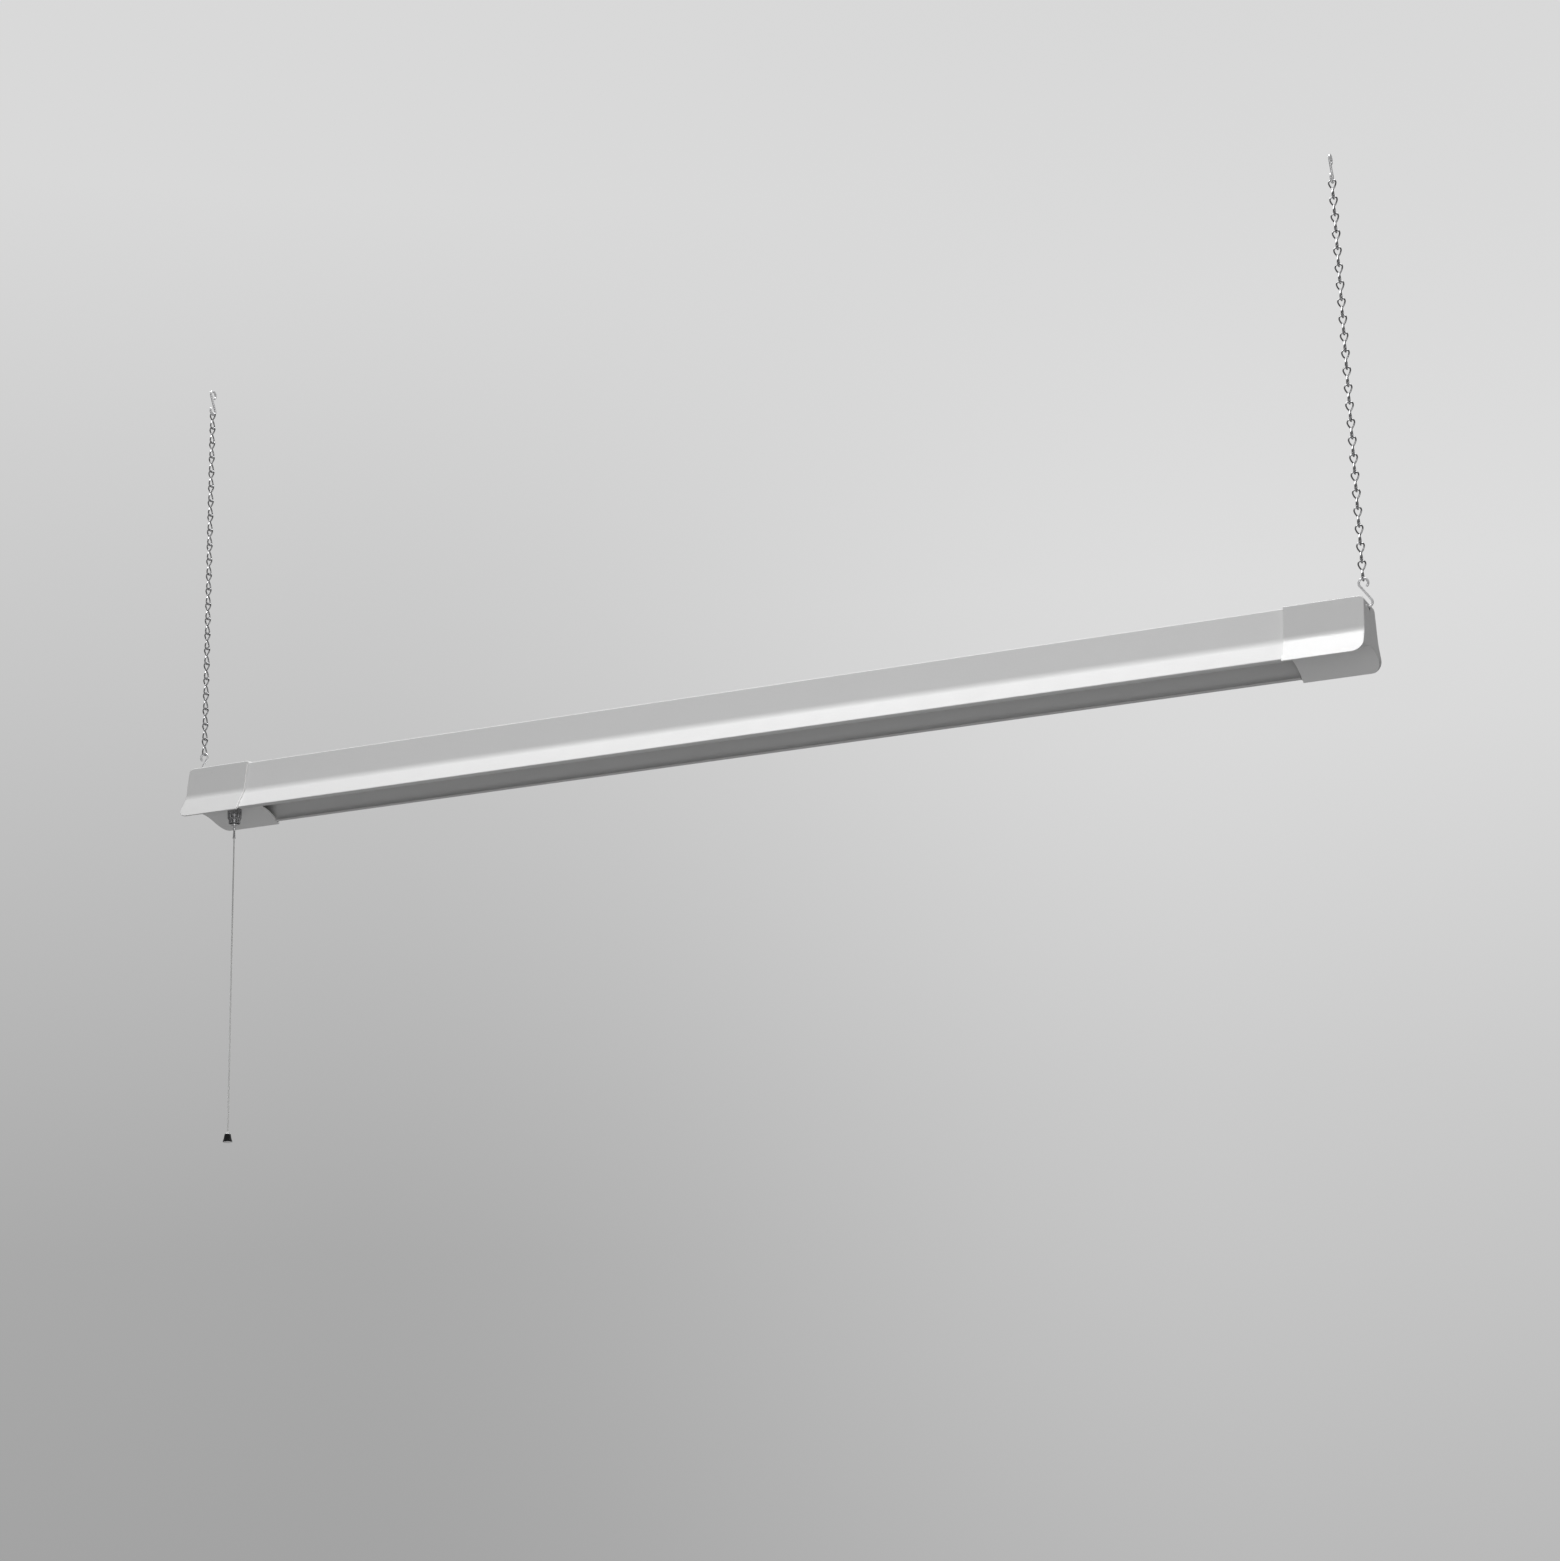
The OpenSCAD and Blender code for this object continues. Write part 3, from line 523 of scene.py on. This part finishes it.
inner_x = np.concatenate([tip_start + inner_round * np.sin(quarter_turn[::-1]), [seam]])
inner_rings = [cap_ring(x, cap_wall,
                        -cap_wall - quarter(x, cap_end - end_wall - inner_crown, inner_crown),
                        max(quarter(x, tip_start, inner_round) + tip_point[1] + end_wall, inner_low),
                        cap_wall, 0.02)
               for x in inner_x]
cap_rings = np.array(inner_rings + outer_rings)
eye_depth = 6.8
eye_radius = 2.5
cap_faces = skin(cap_rings)
switch_x = -558.0
for hand, cap_name in ((-1, "left_end_cap"), (1, "right_end_cap")):
    rings = cap_rings * [hand, 1, 1]
    cap = make(cap_name + "_shell", [(rings, cap_faces)], cap_plastic, "fixture",
               [cap_name])
    eye_line = np.array([[hand * 590.0, 0, top_mm - eye_depth], [hand * 610.0, 0, top_mm - eye_depth]])
    screw_line = np.array([[hand * screw_x, 0, top_mm - 3], [hand * screw_x, 0, top_mm + 2.0]])
    holes = [tube(eye_line, eye_radius, np.array([0, 1.0, 0]), around=32),
             tube(screw_line, 2.0, np.array([1.0, 0, 0]), around=32)]
    if hand < 0:
        holes.append(tube(np.array([[switch_x, 0, top_mm - 47], [switch_x, 0, top_mm - 38]]),
                          5.0, np.array([1.0, 0, 0]), around=48))
    drill(cap, holes)


# Fasteners and brackets of zinc-plated steel: the caps' screws, the brackets and screws that hold
# the lamp tray, and the driver's case and cover.

def plated_steel(place):
    spangle = grain(place, 260.0, 3.0)
    return {"Base Color": tone(spangle, (0.44, 0.45, 0.46), (0.58, 0.58, 0.57)),
            "Metallic": 1.0,
            "Roughness": grain(place, 700.0) * 0.25 + 0.24,
            "Height": grain(place, 1500.0),
            "Relief": 0.00001}


def dress(finish, *nodes):
    """Give CAD nodes this finish in place of their plain one."""
    for node in nodes:
        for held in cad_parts[node].material_slots:
            held.material = finish


plated = surface("plated_steel", plated_steel)
dress(plated, "end_cap_screws", "tray_brackets", "tray_screws",
      "board_screws", "driver_screws", "driver_case", "driver_cover")


# Lamp tray and what it carries: a folded enamelled steel channel with two aluminium LED boards
# screwed beneath it, each with a row of yellow chips, joined by short red wires.

def board_white(place):
    weave = grain(place, 900.0, 3.0)
    return {"Base Color": tone(weave, (0.78, 0.78, 0.76), (0.86, 0.86, 0.83)),
            "Roughness": weave * 0.1 + 0.33,
            "Height": weave,
            "Relief": 0.00001}


def led_yellow(place):
    phosphor = grain(place, 1800.0)
    return {"Base Color": tone(phosphor, (0.78, 0.60, 0.10), (0.90, 0.78, 0.26)),
            "Roughness": phosphor * 0.1 + 0.2,
            "Coat Weight": 0.3}


def red_insulation(place):
    scuff = grain(place, 500.0)
    return {"Base Color": tone(scuff, (0.46, 0.03, 0.025), (0.62, 0.06, 0.05)),
            "Roughness": scuff * 0.2 + 0.35,
            "Height": scuff,
            "Relief": 0.00001}


dress(enamel, "led_tray")
dress(surface("board_white", board_white), "led_board_left", "led_board_right")
dress(surface("led_yellow", led_yellow), "led_chips_left", "led_chips_right")
dress(surface("red_insulation", red_insulation), "board_link_wires", "led_wires")


# Diffuser: one extruded strip of opal plastic, bowed downwards, with two legs that clip it to the
# tray. Its skin is smooth, with very faint draw lines along its length.

def opal_plastic(place):
    squeezed = place.add("ShaderNodeMapping", sockets={"Vector": place, "Scale": (0.02, 1.0, 1.0)})
    draw_lines = grain(squeezed, 700.0)
    return {"Base Color": tone(grain(place, 9.0), (0.80, 0.80, 0.79), (0.85, 0.85, 0.835)),
            "Roughness": draw_lines * 0.12 + 0.30,
            "Height": draw_lines,
            "Relief": 0.00001,
            "Subsurface Weight": 0.15,
            "Subsurface Radius": (0.003, 0.003, 0.003)}


diffuser_half = 22.0
diffuser_low = -38.4
diffuser_wall = 1.4
bow_rise = 3.6
bow_radius = (diffuser_half ** 2 + bow_rise ** 2) / (2 * bow_rise)
bow = np.linspace(-1, 1, 25) * asin(diffuser_half / bow_radius)
under_arc = np.stack([bow_radius * np.sin(bow), diffuser_low + bow_radius * (1 - np.cos(bow))], axis=-1)
upper_bow = bow[::-1] * 0.995
upper_radius = bow_radius - diffuser_wall
over_arc = np.stack([upper_radius * np.sin(upper_bow),
                     diffuser_low + bow_radius - upper_radius * np.cos(upper_bow)], axis=-1)
leg_out = 19.35
leg_box = np.array([[leg_out - diffuser_wall, -26.0], [leg_out, -26.0], [leg_out, -34.9],
                    [leg_out - diffuser_wall, -34.9]])


def bar_along(outline, half_length):
    """A closed outline across the lamp carried from -half_length to half_length."""
    stations = np.linspace(-half_length, half_length, 9)
    rings = np.empty((stations.size, len(outline), 3))
    rings[:, :, 0] = stations[:, None]
    rings[:, :, 1] = outline[:, 0]
    rings[:, :, 2] = outline[:, 1] + top_mm
    return rings, skin(rings)


make("diffuser_strip", [bar_along(np.concatenate([under_arc, over_arc]), 538.0),
                        bar_along(leg_box, 527.0), bar_along(leg_box * [-1, 1], 527.0)],
     surface("opal_plastic", opal_plastic), "fixture", ["diffuser"])


# Driver and wiring on top of the tray: a green circuit board, a white terminal block, a green
# earth screw, black switch and driver wires, and the black bushing where the supply enters.

def green_board(place):
    copper = grain(place, 350.0, 4.0)
    return {"Base Color": tone(copper, (0.02, 0.12, 0.05), (0.05, 0.26, 0.10)),
            "Roughness": copper * 0.2 + 0.2,
            "Height": copper,
            "Relief": 0.00003}


def green_plating(place):
    wear = grain(place, 800.0)
    return {"Base Color": tone(wear, (0.04, 0.22, 0.07), (0.09, 0.36, 0.13)),
            "Metallic": 0.6,
            "Roughness": wear * 0.25 + 0.25}


def black_plastic(place):
    fine = grain(place, 1900.0)
    return {"Base Color": tone(grain(place, 150.0), (0.022, 0.022, 0.023), (0.045, 0.045, 0.046)),
            "Roughness": fine * 0.2 + 0.34,
            "Height": fine,
            "Relief": 0.000015}


def brass_tabs(place):
    tarnish = grain(place, 400.0, 3.0)
    return {"Base Color": tone(tarnish, (0.46, 0.32, 0.10), (0.72, 0.56, 0.24)),
            "Metallic": 1.0,
            "Roughness": tarnish * 0.3 + 0.18}


dress(cap_plastic, "terminal_block")
dress(surface("green_board", green_board), "driver_board")
dress(surface("green_plating", green_plating), "ground_screw")
dress(surface("brass_tabs", brass_tabs), "switch_terminals")
black = surface("black_plastic", black_plastic)
dress(black, "switch_wires", "driver_wires", "inlet_bushing", "switch_body")


# Pull switch under the left cap: a fluted dark collar screwed onto the switch's neck, a bright
# ferrule in its mouth, and below it a metal link on the pull rod's ball. Inside, a spring of 0.6 mm
# wire under the rod's head pushes the rod back up, so it shortens as the rod is pulled.

def turned_ring(profile, around, flute=None):
    """A closed profile of radius and height turned about the switch's axis. The flute, a function
    of angle, is taken off the radius of points beyond 5.4 mm."""
    angle = np.linspace(0, 2 * pi, around + 1)[:-1]
    radius = profile[:, :1].repeat(around, 1)
    if flute is not None:
        radius = radius - np.where(radius > 5.4, flute(angle)[None, :], 0.0)
    return np.stack([switch_x + radius * np.cos(angle), radius * np.sin(angle),
                     (profile[:, 1:] + top_mm).repeat(around, 1)], axis=-1)


def flute_depth(angle):
    """Depth of sixteen grooves, each a circle of 0.9 mm radius, centred 0.35 mm outside the rim."""
    grooves = 16
    groove_radius = 0.9
    share = (angle * grooves / (2 * pi) + 0.5) % 1 - 0.5
    aside = share * 2 * pi * collar_radius / grooves
    return np.maximum(np.sqrt(np.maximum(groove_radius ** 2 - aside ** 2, 0)) - 0.35, 0)


def bright_metal(place):
    turned = grain(place, 2400.0)
    return {"Base Color": tone(turned, (0.82, 0.82, 0.83), (0.92, 0.92, 0.93)),
            "Metallic": 1.0,
            "Roughness": turned * 0.12 + 0.1}


def dark_metal(place):
    """Smoke-dark metal, with painted glints on the knob: its crown and foot are made pale and not
    metallic.
    """
    smoke = grain(place, 600.0)
    height = place.add("ShaderNodeSeparateXYZ", sockets={0: place}, out=2)
    # Painted highlight: a pale, non-metallic band at the knob's foot and crown stands in for glints.
    foot = place.maths("LESS_THAN", height, fixture_top + (knob_low + 0.6) * MM)
    crown = place.maths("GREATER_THAN", height, fixture_top + (knob_low + 8.3) * MM)
    painted_glint = foot + crown
    return {"Base Color": tone(smoke * 0.04 + painted_glint, (0.05, 0.05, 0.053), (0.93, 0.93, 0.93)),
            "Metallic": 1 - painted_glint,
            "Roughness": smoke * 0.12 + 0.12}


def collar_metal(place):
    cast = grain(place, 640.0, 4.0)
    return {"Base Color": tone(cast, (0.16, 0.16, 0.165), (0.50, 0.50, 0.51)),
            "Metallic": 0.85,
            "Roughness": cast * 0.2 + 0.16,
            "Height": cast,
            "Relief": 0.00006}


spring_low, spring_high = (end.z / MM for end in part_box("switch_spring"))
spring_wire = 0.3
coil_radius = 2.6
coil_angle = np.linspace(0, 8 * pi, 97)
coil_height = np.linspace(spring_low + spring_wire, spring_high - spring_wire, coil_angle.size)
coil = np.column_stack([switch_x + coil_radius * np.cos(coil_angle), coil_radius * np.sin(coil_angle),
                        coil_height])
spring = make("switch_spring_coil", [tube(coil, spring_wire, np.array([0, 0, 1.0]), around=8,
                                          round_ends=True)],
              plated, None, ["switch_spring"], 60)
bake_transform(spring)
collar_low = -58.2
collar_high = -43.05
collar_radius = 7.2
collar = turned_ring(np.array([
    [4.85, collar_low + 0.35], [4.95, collar_low], [5.2, collar_low], [5.5, collar_low + 0.25],
    [5.65, collar_low + 0.7], [5.75, collar_low + 3.5], [5.85, collar_low + 4.3],
    [6.5, collar_low + 5.0], [6.85, collar_low + 5.6], [7.1, collar_high - 4.0],
    [collar_radius, collar_high - 2.0], [collar_radius, collar_high - 0.7],
    [7.15, collar_high - 0.35], [6.95, collar_high - 0.1], [6.6, collar_high], [5.2, collar_high],
    [4.85, collar_high - 0.35]]), 160, flute_depth)
make("switch_collar_fluted", [(collar, skin(collar, looped=True))],
     surface("collar_metal", collar_metal), "fixture", ["switch_collar"], 40)
cord_top = -73.1
ferrule = turned_ring(np.array([
    [1.5, -60.1], [1.7, -60.2], [2.35, -60.2], [2.6, -59.95], [2.6, -59.7], [3.25, -59.7], [3.5, -59.6],
    [3.6, -59.35], [3.6, -58.6], [3.5, -58.35], [3.25, -58.25], [1.5, -58.25]]), 48)
bright = surface("bright_metal", bright_metal)
make("switch_ferrule_turned", [(ferrule, skin(ferrule, looped=True))], bright, "fixture",
     ["switch_ferrule"], 40)
dress(bright, "pull_rod")
link_sleeve = turned_ring(np.array([
    [1.42, cord_top], [1.55, cord_top], [1.61, -73.0], [1.58, -72.75], [1.32, -71.6], [1.24, -70.4],
    [1.22, -68.4], [1.05, -67.2], [1.0, -65.2], [1.1, -64.5], [1.45, -63.9], [1.55, -63.4],
    [1.56, -61.8], [1.52, -61.3], [1.4, -61.1], [1.15, -61.1], [1.28, -61.5], [1.36, -62.1],
    [1.28, -62.7], [0.8, -63.6], [0.8, -68.0], [0.98, -68.9], [1.05, -69.7], [1.0, -70.4],
    [1.06, -71.5], [1.26, -72.5]]), 40)
make("cord_link_sleeve", [(link_sleeve, skin(link_sleeve, looped=True))], bright, "cord_link",
     ["cord_link"], 40)


# Pull cord: 298 mm of limp 1.5 mm cord of three tightly twisted strands, knotted inside the link. It
# hangs straight down and ends in a small dark bell-shaped knob with painted white glints on its crown and
# foot.

def cord_fibre(place):
    fuzz = grain(place, 3500.0, 3.0)
    return {"Base Color": tone(fuzz, (0.93, 0.93, 0.92), (0.97, 0.97, 0.96)),
            "Roughness": 0.85,
            "Sheen Weight": 1.0,
            "Height": fuzz,
            "Relief": 0.00001}


cord_length = 298.0
cord_radius = 0.75
strand_lay = 4.2
fibre = surface("cord_fibre", cord_fibre)
fall = np.linspace(0, cord_length, 597)
strand_angle = np.linspace(0, 2 * pi, 13)[:-1]
strand_phase = 3 * (strand_angle[None, :] - 2 * pi * fall[:, None] / strand_lay)
ripple = cord_radius - 0.02 * (1 - np.cos(strand_phase))
cord_rings = np.stack([switch_x + ripple * np.cos(strand_angle), ripple * np.sin(strand_angle),
                       (top_mm + cord_top - fall)[:, None].repeat(12, 1)], axis=-1)
cord = make("pull_cord_twisted", [(cord_rings, skin(cord_rings))], fibre, "pull_cord",
            ["pull_cord"], 60)
knot_angle = np.linspace(0.35, 2.6, 14)
knot_profile = np.column_stack([0.98 * np.sin(knot_angle), -69.7 + 0.98 * np.cos(knot_angle)])
knot_profile = np.concatenate([knot_profile, [[0.6, -71.2], [0.68, -72.4], [0.7, -73.05]]])
knot_rings = turned_ring(knot_profile, 24)
knot = make("cord_knot", [(knot_rings, skin(knot_rings))], fibre, "pull_cord", [])
knob_height = 9.4
cord_in_knob = 1.2
knob_low = cord_top - cord_length - knob_height + cord_in_knob
knob_rings = turned_ring(np.array([
    [3.7, 0.0], [4.2, 0.08], [4.52, 0.3], [4.68, 0.7], [4.66, 1.2], [4.5, 1.8], [4.2, 2.6], [3.9, 3.6],
    [3.65, 4.7], [3.45, 5.8], [3.26, 6.9], [3.08, 7.8], [2.85, 8.5], [2.5, 9.05], [2.0, 9.35], [1.5, 9.4],
    [1.0, 9.35], [0.82, 9.2], [0.8, 8.6], [0.8, 6.4]]) + [0.0, knob_low], 48)
smoked = surface("dark_metal", dark_metal)
knob = make("cord_knob_bell", [(knob_rings, skin(knob_rings))], smoked, "pull_cord",
            ["cord_knob"], 40)


# Hooks: four S-hooks of 2.2 mm zinc-plated wire with cut and deburred ends. The lower pair goes
# through the caps' eyes, and the upper pair hangs from the ceiling, turned a quarter.

def zinc_wire(place):
    spangle = grain(place, 420.0, 3.0)
    drawn = grain(place, 1600.0)
    return {"Base Color": tone(spangle, (0.26, 0.26, 0.265), (0.58, 0.58, 0.59)),
            "Metallic": 1.0,
            "Roughness": drawn * 0.12 + 0.06,
            "Height": drawn,
            "Relief": 0.00001}


def bright_zinc(place):
    drawn = grain(place, 500.0)
    return {"Base Color": tone(grain(place, 120.0), (0.92, 0.92, 0.93), (0.97, 0.97, 0.98)),
            "Metallic": 0.3,
            "Roughness": drawn * 0.08 + 0.14}


zinc = surface("zinc_wire", zinc_wire)
hook_zinc = surface("bright_zinc", bright_zinc)
hook_loop = 4.1
hook_span = 17.8
hook_radius = 1.1
hook_eye = hook_loop - hook_radius
chain_x = 596.5
hook_x = cap_end - end_wall / 2
lean = asin(2 * hook_loop / hook_span)
tilt = asin((hook_x - chain_x) / hook_span)


def s_hook_path(free_end):
    """The hook's middle line in its own plane: a lower loop about the origin, a straight that touches
    both loops, and an upper loop about (0, hook_span)."""
    lower = np.linspace(free_end, 2 * pi + lean, 25)
    upper = np.linspace(pi + lean, radians(-52), 24)
    return np.concatenate([hook_loop * np.stack([np.cos(lower), np.sin(lower)], axis=-1),
                           hook_loop * np.stack([np.cos(upper), np.sin(upper)], axis=-1) + [0, hook_span]])


hang_play = 0.08
eye_top = top_mm - eye_depth + eye_radius
lower_rest = eye_top - (hook_eye - sqrt(hook_eye ** 2 - end_wall ** 2 / 4)) - hang_play
lower_line = s_hook_path(radians(218) - tilt)
swung = lower_line @ np.array([[cos(tilt), sin(tilt)], [-sin(tilt), cos(tilt)]])
lower_path = np.column_stack([hook_x + swung[:, 0], np.zeros(len(swung)),
                              lower_rest + hook_eye + swung[:, 1]])
upper_line = s_hook_path(radians(150))
upper_path = np.column_stack([np.full(len(upper_line), chain_x), upper_line[:, 0],
                              upper_line[:, 1] - hook_eye - hook_span])
for hand, prefix in ((-1, "left_"), (1, "right_")):
    flip = np.array([hand, 1, 1])
    make(prefix + "lower_hook_wire", [tube(lower_path * flip, hook_radius, np.array([0, 1.0, 0]),
                                           around=14, round_ends=True)],
         hook_zinc, "lower_hooks", [prefix + "lower_hook"])
    make(prefix + "ceiling_hook_wire", [tube(upper_path * flip, hook_radius, np.array([1.0, 0, 0]),
                                             around=14, round_ends=True)],
         hook_zinc, "ceiling_hooks", [prefix + "ceiling_hook"])


# Chains: jack chain of 1.4 mm plated wire. Each link is one wire bent into two drop-shaped loops
# set square to each other, crossing at its waist, and each hangs in the loop above.

wire_radius = 0.72
chain_pitch = 16.1
link_top = hang_play - (hook_span + 2 * hook_eye)
half_link = (chain_pitch + hang_play) / 2 + wire_radius
loop_half = 3.15


def link_path(samples, kept):
    """A link's middle line about its waist. A loop's half width is its height times what is left
    above it to the power 0.4, and the two strands pass the waist side by side. The raw line is then
    smoothed by keeping its first few harmonics."""
    share = np.linspace(0, 1, 400)
    rise = half_link * np.sin(pi * share)
    drop = rise / half_link * np.maximum(1 - rise / half_link, 0) ** 0.4
    drop = drop / drop.max() * loop_half * np.sign(0.5 - share)
    pass_by = wire_radius * np.cos(pi * share)
    upper = np.column_stack([drop, pass_by * (1 - rise / half_link), rise])
    lower = np.column_stack([np.zeros(400), -drop - pass_by * (1 - rise / half_link), -rise])
    raw = np.concatenate([upper[:-1], lower[:-1]])
    step = np.linalg.norm(np.roll(raw, -1, axis=0) - raw, axis=1)
    run = np.concatenate([[0], np.cumsum(step)])
    even = np.linspace(0, run[-1], samples + 1)[:-1]
    closed = np.vstack([raw, raw[:1]])
    line = np.column_stack([np.interp(even, run, closed[:, axis]) for axis in range(3)])
    waves = np.fft.rfft(line, axis=0)
    waves[kept:] = 0
    return np.fft.irfft(waves, samples, axis=0)


last_link = 22
link_line = link_path(44, 12)
link_line[:, 2] *= half_link / np.abs(link_line[:, 2]).max()
away = link_line * [1, 1, 0.8]
link_points, link_faces = tube(link_line, wire_radius, away, looped=True, around=8)


def chain_run(hand, first, last):
    """Links number first to last of a chain, each a pitch below the one before."""
    shells = []
    for number in range(first, last + 1):
        waist = link_top - number * chain_pitch - (chain_pitch + hang_play) / 2
        shells.append(((link_points + [chain_x, 0, waist]) * [hand, 1, 1], link_faces))
    return shells


for hand, prefix in ((-1, "left_"), (1, "right_")):
    make(prefix + "top_link_wire", chain_run(hand, 0, 0), zinc, "top_links",
         [prefix + "top_link"], 60)
    make(prefix + "chain_wire", chain_run(hand, 1, last_link), zinc, prefix + "chain",
         [prefix + "chain"], 60)
